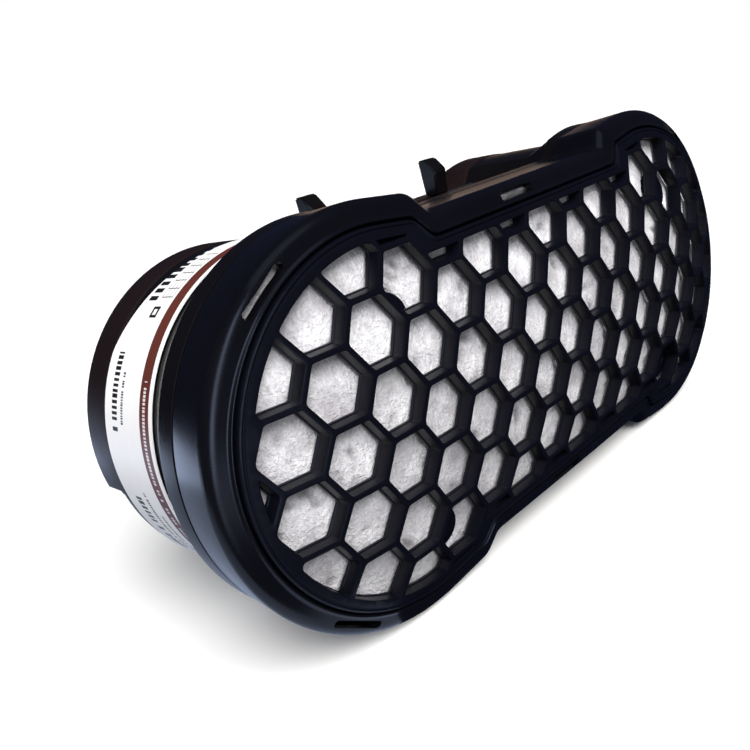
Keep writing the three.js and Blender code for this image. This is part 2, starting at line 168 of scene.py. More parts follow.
def new_object(name, vertices, faces, sharp=40):
    mesh = bpy.data.meshes.new(name)
    mesh.from_pydata(to_frame(vertices).tolist(), [], [list(map(int, f)) for f in faces])
    mesh.validate()
    mesh.polygons.foreach_set("use_smooth", [True] * len(mesh.polygons))
    mesh.set_sharp_from_angle(angle=math.radians(sharp))
    made = bpy.data.objects.new(name, mesh)
    bpy.context.scene.collection.objects.link(made)
    return made


def skin_faces(count, spans, rings, loop=True, first=0):
    """Quads between neighbouring rings. The outside faces out where the rings run from front to rear."""
    faces = []
    for k in range(spans):
        n = (k + 1) % rings
        for i in range(count if loop else count - 1):
            j = (i + 1) % count
            faces.append([first + k * count + i, first + n * count + i, first + n * count + j, first + k * count + j])
    return faces


def sweep(name, profile, step=BODY_STEP, sharp=40):
    """A closed profile of (offset, y, domed) points carried round the outline."""
    rings = [ring(*p, step) for p in profile]
    count = len(rings[0])
    return new_object(name, np.vstack(rings), skin_faces(count, len(rings), len(rings)), sharp)


def rounded(profile, radius, steps=4):
    """Rounds each corner of a closed profile. A corner given as (offset, y, domed, own_radius) uses its own."""
    made = []
    points = [np.array(p[:3], float) for p in profile]
    for i, p in enumerate(points):
        before, after = points[i - 1], points[(i + 1) % len(points)]
        own = profile[i][3] if len(profile[i]) > 3 else radius
        room = 0.45 * min(np.linalg.norm((p - before)[:2]), np.linalg.norm((after - p)[:2]))
        cut = min(own, room)
        if cut <= 0:
            made.append(p)
        else:
            start, end = towards(p, before, cut), towards(p, after, cut)
            for t in np.linspace(0, 1, steps + 1):
                made.append((1 - t) ** 2 * start + 2 * t * (1 - t) * p + t**2 * end)
    return made


def cut_with(obj, tools):
    """Takes the tools' solids out of obj."""
    for tool in tools:
        modifier = obj.modifiers.new("cut", "BOOLEAN")
        modifier.operation = "DIFFERENCE"
        modifier.solver = "EXACT"
        modifier.object = tool
    graph = bpy.context.evaluated_depsgraph_get()
    made = bpy.data.meshes.new_from_object(obj.evaluated_get(graph))
    obj.modifiers.clear()
    obj.data = made
    made.set_sharp_from_angle(angle=math.radians(40))
    for tool in tools:
        bpy.data.objects.remove(tool)
    return obj


def block(name, size, centre, turn=0.0, bevel=0.3):
    """A box with rounded edges, turned about y after it is placed about the lobe's middle."""
    bm = bmesh.new()
    bmesh.ops.create_cube(bm, size=1)
    bmesh.ops.scale(bm, vec=Vector(size), verts=bm.verts)
    bmesh.ops.bevel(bm, geom=bm.edges[:], offset=bevel, segments=3, affect="EDGES")
    bmesh.ops.translate(bm, vec=Vector(centre), verts=bm.verts)
    mesh = bpy.data.meshes.new(name)
    bm.to_mesh(mesh)
    bm.free()
    made = bpy.data.objects.new(name, mesh)
    bpy.context.scene.collection.objects.link(made)
    co = np.array([v.co for v in mesh.vertices])
    c, s = math.cos(turn), math.sin(turn)
    co = np.stack([co[:, 0] * c - co[:, 2] * s, co[:, 1], co[:, 0] * s + co[:, 2] * c], 1)
    mesh.vertices.foreach_set("co", co.ravel())
    return made


def place(obj, shift=(0, 0, 0)):
    """Moves a block's mesh from millimetres into the row frame."""
    co = np.array([v.co for v in obj.data.vertices]) + np.array(shift)
    obj.data.vertices.foreach_set("co", to_frame(co).ravel())
    obj.data.update()
    return obj


def capped(name, profile, sharp=40):
    """An open profile of (offset, y, domed) points carried round the outline, closed at both ends."""
    rings = [ring(*p) for p in profile]
    count = len(rings[0])
    faces = skin_faces(count, len(rings) - 1, len(rings))
    faces += [list(range(count)), list(range((len(rings) - 1) * count, len(rings) * count))[::-1]]
    return tidy_normals(new_object(name, np.vstack(rings), faces, sharp))


def tidy_normals(obj, merge=2e-6, sharp=40):
    bm = bmesh.new()
    bm.from_mesh(obj.data)
    bmesh.ops.remove_doubles(bm, verts=bm.verts, dist=merge)
    bmesh.ops.recalc_face_normals(bm, faces=bm.faces)
    bm.to_mesh(obj.data)
    bm.free()
    obj.data.set_sharp_from_angle(angle=math.radians(sharp))
    return obj


def slot_loop(radius, steps=24):
    """The outlet's outline: two half circles joined by straights, anticlockwise seen from the front."""
    turn = np.linspace(-math.pi / 2, math.pi / 2, steps + 1)
    right = np.stack([OUTLET_X + radius * np.cos(turn), radius * np.sin(turn)], 1)
    left = np.stack([-OUTLET_X - radius * np.cos(turn), -radius * np.sin(turn)], 1)
    straight = np.linspace(0, 1, 9)[1:-1, None]
    top = right[-1] + (left[0] - right[-1]) * straight
    bottom = left[-1] + (right[0] - left[-1]) * straight
    return np.vstack([right, top, left, bottom])


def slot_sweep(name, profile, sharp=40):
    """A closed profile of (radius, y, 0) points carried round the outlet."""
    rings = []
    for radius, y, _ in profile:
        flat = slot_loop(radius)
        rings.append(np.stack([flat[:, 0], np.full(len(flat), y), flat[:, 1]], 1))
    count = len(rings[0])
    return new_object(name, np.vstack(rings), skin_faces(count, len(rings), len(rings)), sharp)


def slot_tool(radius, front, rear):
    flat = slot_loop(radius)
    rings = [np.stack([flat[:, 0], np.full(len(flat), y), flat[:, 1]], 1) for y in (front, rear)]
    count = len(flat)
    faces = skin_faces(count, 1, 2) + [list(range(count)), list(range(count, 2 * count))[::-1]]
    return tidy_normals(new_object("outlet_tool", np.vstack(rings), faces))


# ---------------------------------------------------------------- Materials


def shader(name):
    mat = bpy.data.materials.new(name)
    mat.use_nodes = True
    tree = mat.node_tree
    return mat, tree, tree.nodes["Principled BSDF"]


def plastic(name, colour, roughness, specular=0.5, grain=0.4, grain_scale=1800, bump=0.05, tint=None):
    """Moulded plastic: a fine texture in its surface, and roughness that varies a little over it."""
    mat, tree, bsdf = shader(name)
    nodes, links = tree.nodes, tree.links
    coords = nodes.new("ShaderNodeTexCoord")
    fine = nodes.new("ShaderNodeTexNoise")
    fine.inputs["Scale"].default_value = grain_scale
    fine.inputs["Detail"].default_value = 3
    broad = nodes.new("ShaderNodeTexNoise")
    broad.inputs["Scale"].default_value = 60
    broad.inputs["Detail"].default_value = 4
    links.new(coords.outputs["Object"], fine.inputs["Vector"])
    links.new(coords.outputs["Object"], broad.inputs["Vector"])
    rough = nodes.new("ShaderNodeMapRange")
    rough.inputs["From Min"].default_value = 0.3
    rough.inputs["From Max"].default_value = 0.7
    rough.inputs["To Min"].default_value = roughness * (1 - grain * 0.5)
    rough.inputs["To Max"].default_value = roughness * (1 + grain * 0.5)
    links.new(broad.outputs["Fac"], rough.inputs["Value"])
    links.new(rough.outputs["Result"], bsdf.inputs["Roughness"])
    mix = nodes.new("ShaderNodeMix")
    mix.data_type = "RGBA"
    second = tint or [c * 1.6 for c in colour]
    mix.inputs["A"].default_value = (*colour, 1)
    mix.inputs["B"].default_value = (*second, 1)
    links.new(broad.outputs["Fac"], mix.inputs["Factor"])
    links.new(mix.outputs["Result"], bsdf.inputs["Base Color"])
    lift = nodes.new("ShaderNodeBump")
    lift.inputs["Strength"].default_value = bump
    lift.inputs["Distance"].default_value = 0.0002
    links.new(fine.outputs["Fac"], lift.inputs["Height"])
    links.new(lift.outputs["Normal"], bsdf.inputs["Normal"])
    bsdf.inputs["Specular IOR Level"].default_value = specular
    return mat


def fleece(name, light, dark, scale=1.0, smudges=0.0):
    """Needled non-woven: short fibres in all directions, soft mottling and no gloss. Random smudges and a painted shade
    from the mesh attribute darken it.
    """
    mat, tree, bsdf = shader(name)
    nodes, links = tree.nodes, tree.links
    coords = nodes.new("ShaderNodeTexCoord")
    fibres = []
    for i, stretch in enumerate([(900, 160, 900), (300, 900, 200), (700, 500, 260)]):
        mapping = nodes.new("ShaderNodeMapping")
        mapping.inputs["Scale"].default_value = [s * scale for s in stretch]
        mapping.inputs["Rotation"].default_value = (0.3 * i, 0.9 * i, 0.5 + 0.4 * i)
        noise = nodes.new("ShaderNodeTexNoise")
        noise.inputs["Scale"].default_value = 1.6
        noise.inputs["Detail"].default_value = 5
        noise.inputs["Distortion"].default_value = 1.2
        links.new(coords.outputs["Object"], mapping.inputs["Vector"])
        links.new(mapping.outputs["Vector"], noise.inputs["Vector"])
        fibres.append(noise)
    add = nodes.new("ShaderNodeMath")
    add.operation = "ADD"
    links.new(fibres[0].outputs["Fac"], add.inputs[0])
    links.new(fibres[1].outputs["Fac"], add.inputs[1])
    total = nodes.new("ShaderNodeMath")
    total.operation = "ADD"
    links.new(add.outputs[0], total.inputs[0])
    links.new(fibres[2].outputs["Fac"], total.inputs[1])
    mottle = nodes.new("ShaderNodeTexNoise")
    mottle.inputs["Scale"].default_value = 170
    mottle.inputs["Detail"].default_value = 6
    links.new(coords.outputs["Object"], mottle.inputs["Vector"])
    ramp = nodes.new("ShaderNodeValToRGB")
    ramp.color_ramp.elements[0].position = 0.34
    ramp.color_ramp.elements[0].color = (*dark, 1)
    ramp.color_ramp.elements[1].position = 0.62
    ramp.color_ramp.elements[1].color = (*light, 1)
    links.new(mottle.outputs["Fac"], ramp.inputs["Fac"])
    smudge = nodes.new("ShaderNodeTexNoise")
    smudge.inputs["Scale"].default_value = 210
    smudge.inputs["Detail"].default_value = 1.5
    smudge.inputs["Distortion"].default_value = 0.8
    links.new(coords.outputs["Object"], smudge.inputs["Vector"])
    pressed = nodes.new("ShaderNodeMapRange")
    pressed.inputs["From Min"].default_value = 0.62
    pressed.inputs["From Max"].default_value = 0.75
    pressed.inputs["To Min"].default_value = 0.0
    pressed.inputs["To Max"].default_value = smudges
    links.new(smudge.outputs["Fac"], pressed.inputs["Value"])
    # Painted shade: the mesh attribute darkens the colour where shade falls, in the dents and low down.
    painted_shade = nodes.new("ShaderNodeAttribute")
    painted_shade.attribute_name = "painted_shade"
    hollow = nodes.new("ShaderNodeMath")
    hollow.operation = "MULTIPLY_ADD"
    hollow.use_clamp = True
    hollow.inputs[1].default_value = 0.75
    links.new(painted_shade.outputs["Fac"], hollow.inputs[0])
    links.new(pressed.outputs["Result"], hollow.inputs[2])
    # Mixes towards a deep grey by the painted shade and the random smudges together.
    painted_shade_and_smudges = nodes.new("ShaderNodeMix")
    painted_shade_and_smudges.data_type = "RGBA"
    painted_shade_and_smudges.inputs["B"].default_value = (*[c * 0.42 for c in dark], 1)
    links.new(hollow.outputs[0], painted_shade_and_smudges.inputs["Factor"])
    strands = nodes.new("ShaderNodeMapRange")
    strands.inputs["From Min"].default_value = 1.15
    strands.inputs["From Max"].default_value = 1.85
    strands.inputs["To Min"].default_value = 0.74
    strands.inputs["To Max"].default_value = 1.12
    links.new(total.outputs[0], strands.inputs["Value"])
    combed = nodes.new("ShaderNodeMix")
    combed.data_type = "RGBA"
    combed.blend_type = "MULTIPLY"
    combed.inputs["Factor"].default_value = 1.0
    links.new(ramp.outputs["Color"], combed.inputs["A"])
    links.new(strands.outputs["Result"], combed.inputs["B"])
    links.new(combed.outputs["Result"], painted_shade_and_smudges.inputs["A"])
    links.new(painted_shade_and_smudges.outputs["Result"], bsdf.inputs["Base Color"])
    lift = nodes.new("ShaderNodeBump")
    lift.inputs["Strength"].default_value = 0.85
    lift.inputs["Distance"].default_value = 0.0004
    links.new(total.outputs[0], lift.inputs["Height"])
    links.new(lift.outputs["Normal"], bsdf.inputs["Normal"])
    bsdf.inputs["Roughness"].default_value = 0.95
    bsdf.inputs["Specular IOR Level"].default_value = 0.15
    bsdf.inputs["Sheen Weight"].default_value = 0.25
    return mat


def granules(name, dark, light, scale, roughness=0.75):
    """Packed grains or open cells: rounded lumps with dark gaps between them, the darkening in the gaps a painted
    shade.
    """
    mat, tree, bsdf = shader(name)
    nodes, links = tree.nodes, tree.links
    coords = nodes.new("ShaderNodeTexCoord")
    lumps = nodes.new("ShaderNodeTexVoronoi")
    lumps.inputs["Scale"].default_value = scale
    shade = nodes.new("ShaderNodeTexVoronoi")
    shade.inputs["Scale"].default_value = scale * 0.6
    links.new(coords.outputs["Object"], lumps.inputs["Vector"])
    links.new(coords.outputs["Object"], shade.inputs["Vector"])
    # Painted shade: lighter in each lump's middle, darker towards the gaps between lumps.
    ramp = nodes.new("ShaderNodeValToRGB")
    ramp.color_ramp.elements[0].color = (*light, 1)
    ramp.color_ramp.elements[1].color = (*dark, 1)
    ramp.color_ramp.elements[1].position = 0.75
    links.new(lumps.outputs["Distance"], ramp.inputs["Fac"])
    mix = nodes.new("ShaderNodeMix")
    mix.data_type = "RGBA"
    mix.blend_type = "MULTIPLY"
    mix.inputs["Factor"].default_value = 0.35
    links.new(ramp.outputs["Color"], mix.inputs["A"])
    links.new(shade.outputs["Color"], mix.inputs["B"])
    links.new(mix.outputs["Result"], bsdf.inputs["Base Color"])
    lift = nodes.new("ShaderNodeBump")
    lift.invert = True
    lift.inputs["Strength"].default_value = 0.8
    lift.inputs["Distance"].default_value = 0.0005
    links.new(lumps.outputs["Distance"], lift.inputs["Height"])
    links.new(lift.outputs["Normal"], bsdf.inputs["Normal"])
    bsdf.inputs["Roughness"].default_value = roughness
    bsdf.inputs["Specular IOR Level"].default_value = 0.3
    return mat


LABEL_INNER, LABEL_OUTER = 0.02, 0.22
LABEL_FRONT, LABEL_REAR, LABEL_END_X = 26.9, 42.8, -34.2
LABEL_SLANT_FROM, LABEL_SLANT = math.radians(38), 8.1
STRIPE_FRONT, STRIPE_REAR = 27.8, 30.7
RULED_TABLE = {"low": 57, "high": 78, "front": 31.6, "rear": 35.0, "columns": 6, "rows": 3}


def printed_label():
    """White film with a brown band and made-up print: rows of dashes, a square mark and a ruled table."""
    mat, tree, bsdf = shader("label_print")
    nodes, links = tree.nodes, tree.links

    def maths(operation, a, b=0.0, c=0.0):
        node = nodes.new("ShaderNodeMath")
        node.operation = operation
        for socket, value in zip(node.inputs, (a, b, c)):
            if isinstance(value, (int, float)):
                socket.default_value = value
            else:
                links.new(value, socket)
        return node.outputs[0]

    coords = nodes.new("ShaderNodeTexCoord")
    parts = nodes.new("ShaderNodeSeparateXYZ")
    links.new(coords.outputs["Object"], parts.inputs[0])
    x = maths("MULTIPLY_ADD", parts.outputs["X"], -1 / MM, -ORIGIN.x / MM - LOBE_X)
    z = maths("MULTIPLY_ADD", parts.outputs["Z"], 1 / MM, -ORIGIN.z / MM)
    y = maths("MULTIPLY_ADD", parts.outputs["Y"], 1 / MM, -ORIGIN.y / MM)
    angle = maths("DEGREES", maths("ARCTAN2", z, x))

    def between(value, low, high):
        return maths("MULTIPLY", maths("GREATER_THAN", value, low), maths("LESS_THAN", value, high))

    def patch(low, high, front, rear):
        return maths("MULTIPLY", between(angle, low, high), between(y, front, rear))

    def either(masks):
        total = masks[0]
        for mask in masks[1:]:
            total = maths("MAXIMUM", total, mask)
        return total

    def dashes(low, high, front, rear, pitch, seed):
        """A row of strokes of uneven length and height, which spells nothing."""
        step = maths("FLOOR", maths("DIVIDE", angle, pitch))
        noise = nodes.new("ShaderNodeTexWhiteNoise")
        noise.noise_dimensions = "1D"
        links.new(maths("ADD", step, seed), noise.inputs["W"])
        within = maths("FRACT", maths("DIVIDE", angle, pitch))
        long_enough = maths("LESS_THAN", within, maths("MULTIPLY_ADD", noise.outputs["Value"], 0.4, 0.45))
        printed = maths("MULTIPLY", long_enough, maths("GREATER_THAN", noise.outputs["Value"], 0.12))
        return maths("MULTIPLY", patch(low, high, front, rear), printed)

    t = RULED_TABLE
    line = 0.06
    across = maths("PINGPONG", maths("SUBTRACT", angle, t["low"]), (t["high"] - t["low"]) / t["columns"] / 2)
    down = maths("PINGPONG", maths("SUBTRACT", y, t["front"]), (t["rear"] - t["front"]) / t["rows"] / 2)
    rules = maths("MAXIMUM", maths("LESS_THAN", across, line * 3), maths("LESS_THAN", down, line))
    table = maths("MULTIPLY", patch(t["low"] - 0.2, t["high"] + 0.2, t["front"] - line, t["rear"] + line), rules)
    mark = maths("SUBTRACT", patch(49.5, 53.5, 33.2, 35.4), patch(50.5, 52.5, 33.8, 34.8))
    black = either(
        [
            dashes(53, 86, 36.2, 38.9, 3.1, 3),
            dashes(12, 38, 38.4, 40.2, 1.7, 11),
            dashes(16, 33, 36.4, 37.1, 0.8, 23),
            dashes(-34, -8, 37.4, 39.4, 1.9, 31),
            dashes(-36, -6, 34.9, 35.7, 0.9, 47),
            dashes(-40, -14, 32.8, 33.5, 0.8, 53),
            table,
            mark,
        ]
    )
    pale = dashes(-42, 30, 28.9, 29.7, 1.1, 71)
    film = nodes.new("ShaderNodeTexNoise")
    film.inputs["Scale"].default_value = 420
    links.new(coords.outputs["Object"], film.inputs["Vector"])

    def layered(below, above, mask):
        mix = nodes.new("ShaderNodeMix")
        mix.data_type = "RGBA"
        for socket, value in (("A", below), ("B", above)):
            if isinstance(value, tuple):
                mix.inputs[socket].default_value = (*value, 1)
            else:
                links.new(value, mix.inputs[socket])
        links.new(mask, mix.inputs["Factor"])
        return mix.outputs["Result"]

    white = layered((0.88, 0.875, 0.885), (0.93, 0.925, 0.935), film.outputs["Fac"])
    inked = layered(white, (0.012, 0.012, 0.014), black)
    banded = layered(inked, (0.115, 0.028, 0.02), between(y, STRIPE_FRONT, STRIPE_REAR))
    links.new(layered(banded, (0.72, 0.68, 0.68), pale), bsdf.inputs["Base Color"])
    lift = nodes.new("ShaderNodeBump")
    lift.inputs["Strength"].default_value = 0.15
    lift.inputs["Distance"].default_value = 0.0002
    links.new(film.outputs["Fac"], lift.inputs["Height"])
    links.new(lift.outputs["Normal"], bsdf.inputs["Normal"])
    bsdf.inputs["Roughness"].default_value = 0.42
    bsdf.inputs["Specular IOR Level"].default_value = 0.4
    return mat


BEZEL_BLACK = plastic("bezel_black", (0.0022, 0.0022, 0.0035), 0.24, specular=0.4, bump=0.02)
GUARD_BLACK = plastic("guard_black", (0.0021, 0.0023, 0.0048), 0.42, specular=0.3, bump=0.12)
HOUSING_BLACK = plastic("housing_black", (0.0032, 0.0027, 0.003), 0.3, specular=0.35, bump=0.06)
SHROUD_BROWN = plastic("shroud_brown", (0.009, 0.0052, 0.0052), 0.45, specular=0.3, bump=0.12)
INNER_GREY = plastic("inner_grey", (0.014, 0.015, 0.017), 0.5, specular=0.4, bump=0.12)
RUBBER = plastic("rubber", (0.008, 0.008, 0.008), 0.75, specular=0.3, bump=0.3, grain_scale=900)
FLEECE = fleece("fleece", (0.9, 0.89, 0.93), (0.55, 0.53, 0.57), smudges=0.3)
SCRIM = fleece("scrim", (0.8, 0.8, 0.78), (0.6, 0.6, 0.58), scale=1.6)
PAPER = fleece("filter_paper", (0.86, 0.85, 0.8), (0.78, 0.77, 0.72), scale=2.0)
RESIN = plastic("potting_resin", (0.62, 0.54, 0.33), 0.35, specular=0.5, bump=0.2, grain_scale=400)
CARBON = granules("carbon_grains", (0.001, 0.001, 0.001), (0.02, 0.02, 0.021), 900)
FOAM = granules("open_cell_foam", (0.01, 0.01, 0.011), (0.07, 0.07, 0.075), 1500, roughness=0.95)
LABEL_PRINT = printed_label()


def finish_piece(obj, material, body, slot, *nodes):
    obj.data.materials.clear()
    obj.data.materials.append(material)
    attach(obj, body)
    if nodes:
        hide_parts(*nodes)
    return obj


# ---------------------------------------------------------------- Camera, floor and light


AMBIENT, ROOM_GLOSS = 0.2, 0.04
BLUISH, WARM = (0.6, 0.72, 1.0), (1.0, 0.73, 0.58)


def upright(left, right, low, high):
    return [(*left, low), (*right, low), (*right, high), (*left, high)]


def studio():
    scene = bpy.context.scene
    scene.view_settings.view_transform = "Standard"
    camera = bpy.data.cameras.new("camera")
    camera.lens = 37.15
    camera.sensor_width = 36.0
    camera.clip_start, camera.clip_end = 0.005, 100
    eye = bpy.data.objects.new("camera", camera)
    eye.location = to_frame([-116.19, -79.38, 42.41])
    eye.rotation_euler = Euler([math.radians(a) for a in (72.428, 13.409, -44.728)])
    scene.collection.objects.link(eye)
    scene.camera = eye

    floor_mesh = bpy.data.meshes.new("floor")
    reach, low = 30.0, CAD_BOX[0].z - 0.0002
    corners = [(-reach, -reach, low), (reach, -reach, low), (reach, reach, low), (-reach, reach, low)]
    floor_mesh.from_pydata(corners, [], [(0, 1, 2, 3)])
    floor = bpy.data.objects.new("floor", floor_mesh)
    scene.collection.objects.link(floor)
    mat, _, bsdf = shader("floor_white")
    bsdf.inputs["Base Color"].default_value = (0.95, 0.95, 0.95, 1)
    bsdf.inputs["Roughness"].default_value = 0.9
    bsdf.inputs["Specular IOR Level"].default_value = 0.1
    floor_mesh.materials.append(mat)
    floor.visible_glossy = floor.visible_diffuse = False

    world = bpy.data.worlds.new("world")
    scene.world = world
    world.use_nodes = True
    nodes, links = world.node_tree.nodes, world.node_tree.links
    path = nodes.new("ShaderNodeLightPath")
    backdrop = nodes["Background"]
    backdrop.inputs["Color"].default_value = (1, 1, 1, 1)
    ambient = nodes.new("ShaderNodeBackground")
    ambient.inputs["Color"].default_value = (0.95, 0.97, 1.0, 1)
    ambient.inputs["Strength"].default_value = AMBIENT
    dark_room = nodes.new("ShaderNodeBackground")
    dark_room.inputs["Color"].default_value = (0.35, 0.45, 1.0, 1)
    dark_room.inputs["Strength"].default_value = ROOM_GLOSS
    lit = nodes.new("ShaderNodeMixShader")
    links.new(path.outputs["Is Glossy Ray"], lit.inputs["Fac"])
    links.new(ambient.outputs["Background"], lit.inputs[1])
    links.new(dark_room.outputs["Background"], lit.inputs[2])
    seen = nodes.new("ShaderNodeMixShader")
    links.new(path.outputs["Is Camera Ray"], seen.inputs["Fac"])
    links.new(lit.outputs["Shader"], seen.inputs[1])
    links.new(backdrop.outputs["Background"], seen.inputs[2])
    links.new(seen.outputs["Shader"], nodes["World Output"].inputs["Surface"])

    def sun(name, strength, angle, direction, colour, glossy=True):
        lamp = bpy.data.lights.new(name, "SUN")
        lamp.energy = strength
        lamp.angle = math.radians(angle)
        lamp.color = colour
        obj = bpy.data.objects.new(name, lamp)
        obj.rotation_mode = "QUATERNION"
        obj.rotation_quaternion = Vector(direction).to_track_quat("-Z", "Y")
        obj.visible_glossy = glossy
        scene.collection.objects.link(obj)

    sun("key", 4.3, 42, (0.2, 0.66, -0.72), (1.0, 0.985, 0.96), glossy=False)
    sun("left_fill", 1.3, 120, (0.8, 0.4, -0.45), (0.96, 0.975, 1.0), glossy=False)

    def card(name, corners, colour, strength):
        """A glowing panel that shows only in reflections."""
        mesh = bpy.data.meshes.new(name)
        mesh.from_pydata(corners, [], [(0, 1, 2, 3)])
        panel = bpy.data.objects.new(name, mesh)
        scene.collection.objects.link(panel)
        glow = bpy.data.materials.new(name)
        glow.use_nodes = True
        emission = glow.node_tree.nodes.new("ShaderNodeEmission")
        emission.inputs["Color"].default_value = (*colour, 1)
        emission.inputs["Strength"].default_value = strength
        glow.node_tree.links.new(
            emission.outputs["Emission"], glow.node_tree.nodes["Material Output"].inputs["Surface"]
        )
        mesh.materials.append(glow)
        panel.visible_camera = panel.visible_diffuse = panel.visible_shadow = False

    low = CAD_BOX[0].z - 0.0001
    card("paper_left", [(-0.2, -0.03, low), (-0.05, -0.03, low), (-0.05, 0.12, low), (-0.2, 0.12, low)], BLUISH, 0.75)
    card("paper_front", [(-0.16, -0.2, low), (-0.06, -0.2, low), (-0.06, -0.09, low), (-0.16, -0.09, low)], BLUISH, 0.9)
    card("warm_wall", upright((0.93, 1.26), (1.47, 0.54), -0.3, 0.3), WARM, 0.5)
    card("back_low", upright((-1.6, 0.6), (1.6, 1.5), -1.2, -0.06), BLUISH, 2.6)
    card("window", upright((-0.83, -0.9), (-0.51, -1.1), -0.5, 1.4), BLUISH, 3.4)
    card("soft_top", [(-0.4, -0.9, 1.3), (0.5, -0.9, 1.3), (0.5, -0.1, 1.3), (-0.4, -0.1, 1.3)], BLUISH, 0.5)


# ---------------------------------------------------------------- Front cover


def bezel_window(name, size, centre, angle, side):
    tool = block(name, size, centre, angle, bevel=0.25)
    co = np.array([v.co for v in tool.data.vertices])
    co[:, 0] *= side
    tool.data.vertices.foreach_set("co", co.ravel())
    if side < 0:
        tool.data.flip_normals()
    return place(tool, (side * LOBE_X, 0, 0))


def bezel():
    profile = rounded(
        [
            (0.0, -1.15, 1, 0.12),
            (0.3, GUARD_FRONT, 1, 0.22),
            (0.75, -1.15, 1, 0.2),
            (2.75, -0.85, 0.94, 1.1),
            (BEZEL_OUT, 1.4, 0.75, 1.1),
            (BEZEL_REAR_OUT, BEZEL_REAR_Y, 0, 0.25),
            (BEZEL_REAR_OUT - 1.3, BEZEL_REAR_Y, 0, 0.15),
            (2.5, 2.2, 0.75, 0.5),
            (1.0, 0.0, 1, 0.2),
            (0.0, 0.0, 1, 0.1),
        ],
        0.2,
        steps=5,
    )
    shell = sweep("bezel_shell", profile, COVER_STEP)
    tools = []
    for up in (1, -1):
        for side in (1, -1):
            angle = math.radians(56) * up
            tools.append(bezel_window("window", (1.25, 24, 9.4), (LOBE_R + 1.6, 0, 0), angle, side))
        tools.append(place(block("window", (9, 24, 1.5), (WAIST_WINDOW_X, 0, up * (WAIST_Z + 1.75)), bevel=0.25)))
    cut_with(shell, tools)
    return finish_piece(shell, BEZEL_BLACK, "front_cover", "bezel_plastic", "front_bezel")


def clip_polygon(polygon, keep_point, normal):
    """The part of a convex polygon on the inner side of a line."""
    inside = [(p - keep_point) @ normal <= 0 for p in polygon]
    made = []
    for i, p in enumerate(polygon):
        q = polygon[(i + 1) % len(polygon)]
        if inside[i]:
            made.append(p)
        if inside[i] != inside[(i + 1) % len(polygon)]:
            t = ((keep_point - p) @ normal) / ((q - p) @ normal)
            made.append(p + (q - p) * t)
    return made


def area_of(polygon):
    p = np.array(polygon)
    q = np.roll(p, -1, 0)
    return 0.5 * np.sum(p[:, 0] * q[:, 1] - q[:, 0] * p[:, 1])


def cell_polygons():
    """The guard's openings: hexagons in columns, cut off at the border."""
    radius = (CELL_PITCH - WEB_FRONT) / math.sqrt(3)
    hexagon = [unit(math.radians(60 * i)) * radius for i in range(6)]
    column_step = CELL_PITCH * math.cos(math.pi / 6)
    made = []
    for column in range(-8, 9):
        for row in range(-4, 5):
            centre = np.array([column * column_step, (row + 0.5 * (column % 2)) * CELL_PITCH])
            cell = [centre + p for p in hexagon]
            if abs(centre[0]) < STEP_FOOT_X:
                for up in (1, -1):
                    cell = clip_polygon(cell, np.array([0, up * BORDER_WAIST_Z]), np.array([0.0, up]))
            else:
                side = 1 if centre[0] > 0 else -1
                for angle in np.radians(np.arange(0, 360, 6)):
                    normal = unit(angle)
                    if normal[0] * side < -0.15 and abs(centre[0]) < 60:
                        continue
                    cell = clip_polygon(cell, side * LOBE + normal * (LOBE_R - BORDER_LOBE), normal) if cell else cell
            if len(cell) >= 3 and area_of(cell) > 3.0:
                made.append(cell)
    return made


def drop_short(polygon, shortest):
    made = [polygon[0]]
    for p in polygon[1:]:
        if np.linalg.norm(p - made[-1]) > shortest:
            made.append(p)
    if np.linalg.norm(made[0] - made[-1]) <= shortest:
        made.pop()
    return made


def round_polygon(polygon, cut, steps=3):
    points = drop_short(polygon, 0.05)
    made = []
    for i, p in enumerate(points):
        a, b = points[i - 1], points[(i + 1) % len(points)]
        room = 0.4 * min(np.linalg.norm(a - p), np.linalg.norm(b - p))
        made.extend(soft_corner(a, p, b, min(cut, room), steps))
    return np.array(made)


def inset(loop, distance):
    """A rounded loop moved outwards by distance, each point along its own normal."""
    along = np.roll(loop, -1, 0) - np.roll(loop, 1, 0)
    normal = np.stack([along[:, 1], -along[:, 0]], 1)
    return loop + normal / np.linalg.norm(normal, axis=1)[:, None] * distance


def filled(loops, spacing):
    """Triangles over the area inside the first loop and outside the others, with points spread through it."""
    points, edges, faces = [], [], []
    for loop in loops:
        first = len(points)
        points += [Vector(p) for p in loop]
        edges += [(first + i, first + (i + 1) % len(loop)) for i in range(len(loop))]
        faces.append(list(range(first, first + len(loop))))
    fixed = len(points)
    low, high = np.min(loops[0], 0), np.max(loops[0], 0)
    for x in np.arange(low[0] + spacing / 2, high[0], spacing):
        for z in np.arange(low[1] + spacing / 2, high[1], spacing):
            points.append(Vector((x, z)))
    found = delaunay_2d_cdt(points, edges, faces, 2, 1e-5)
    return found, fixed


def perforated(name, cells, levels, rim, domed, spacing, step=BODY_STEP, sharp=32):
    """A plate with openings. levels and rim are (outwards, y) points down the openings' walls and round the edge."""
    vertices, faces = [], []

    def add(points):
        first = len(vertices)
        vertices.extend(points)
        return first

    def lifted(loop, y):
        return [(p[0], y + domed * dome(p[0], p[1]), p[1]) for p in loop]

    for is_front in (True, False):
        edge_out, y = rim[0] if is_front else rim[-1]
        level = levels[0] if is_front else levels[-1]
        found, _ = filled([outline(edge_out, step)] + [inset(c, level[0]) for c in cells], spacing)
        first = add(lifted(found[0], y))
        for face in found[2]:
            turned = list(face) if is_front else list(face)[::-1]
            faces.append([first + i for i in turned])
    for cell in cells:
        first = len(vertices)
        for out, y in levels:
            add(lifted(inset(cell, out), y))
        quads = skin_faces(len(cell), len(levels) - 1, len(levels), first=first)
        faces.extend([q[::-1] for q in quads])
    first = len(vertices)
    for out, y in rim:
        add(lifted(outline(out, step), y))
    faces.extend(skin_faces(len(outline(0, step)), len(rim) - 1, len(rim), first=first))
    return tidy_normals(new_object(name, np.array(vertices), faces, sharp), sharp=sharp)


